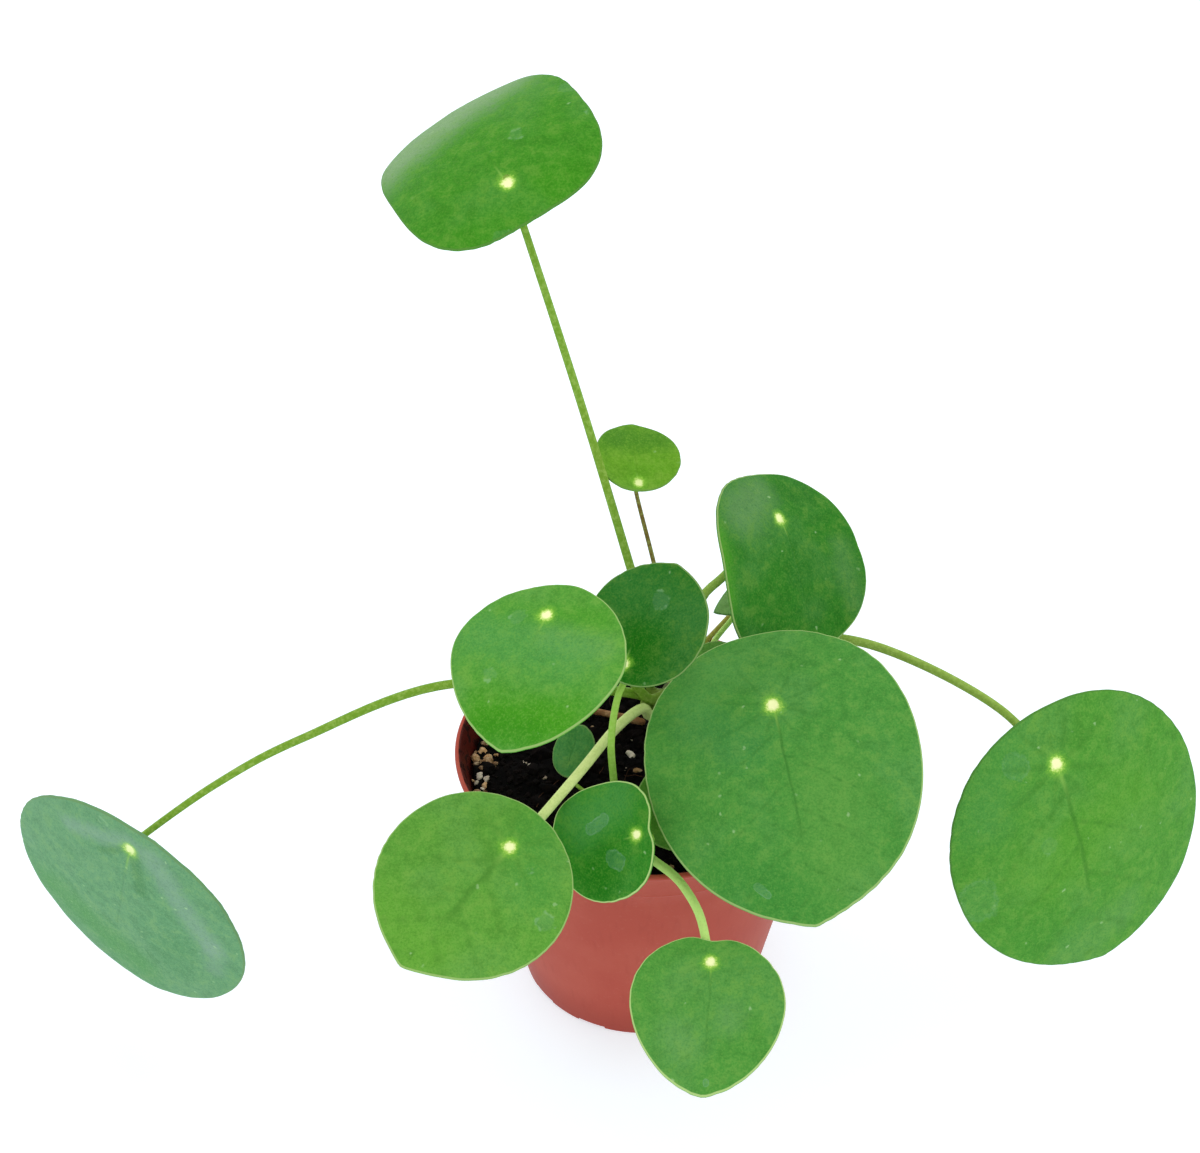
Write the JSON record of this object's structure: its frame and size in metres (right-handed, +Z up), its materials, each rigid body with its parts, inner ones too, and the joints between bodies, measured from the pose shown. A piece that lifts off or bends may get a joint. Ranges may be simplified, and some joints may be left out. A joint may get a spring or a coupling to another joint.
{
  "type": "potted pilea plant",
  "caption": "Potted pilea: round shield-shaped leaves on long arching stalks rise from a short stem and a side shoot in a tapered plastic nursery pot filled with dark soil",
  "frame": {"origin": "middle of the pot's underside, on the flat pad that rests on the surface", "axes": "+Z up along the pot's axis, +X to the right as seen from the front, the side with the low front leaf, and -Y towards that front"},
  "size_m": [0.3112, 0.1664, 0.2394],
  "materials": {
    "pot_plastic": "terracotta red moulded plastic, soft sheen",
    "potting_mix": "dark moist peat mix with perlite and bark, about the density of wood",
    "stem_bark": "matte brown stem with leaf scars",
    "stem_green": "satin young green stem",
    "dry_stalk": "matte dry tan stalk",
    "leaf_green": "satin fresh green leaf",
    "leaf_deep_green": "satin deep green leaf",
    "leaf_blue_green": "satin blue green leaf seen at a glancing angle"
  },
  "bodies": {
    "root": {"pot": "pot_plastic", "soil": "potting_mix", "stem_main": "stem_bark", "stem_pup": "stem_green", "dry_stalk": "dry_stalk", "leaf_top": "leaf_green", "leaf_small_top": "leaf_green", "leaf_far_left": "leaf_blue_green", "leaf_mid_left": "leaf_green", "leaf_upper_right": "leaf_green", "leaf_dark_centre": "leaf_deep_green", "leaf_far_right": "leaf_green", "leaf_big_centre": "leaf_green", "leaf_lower_left": "leaf_green", "leaf_front_small": "leaf_deep_green", "leaf_front_low": "leaf_green", "leaf_tiny": "leaf_deep_green", "leaf_under_big": "leaf_green", "leaf_crown": "leaf_deep_green", "leaf_behind_low": "leaf_green", "leaf_behind_high": "leaf_green"}
  },
  "joints": []
}
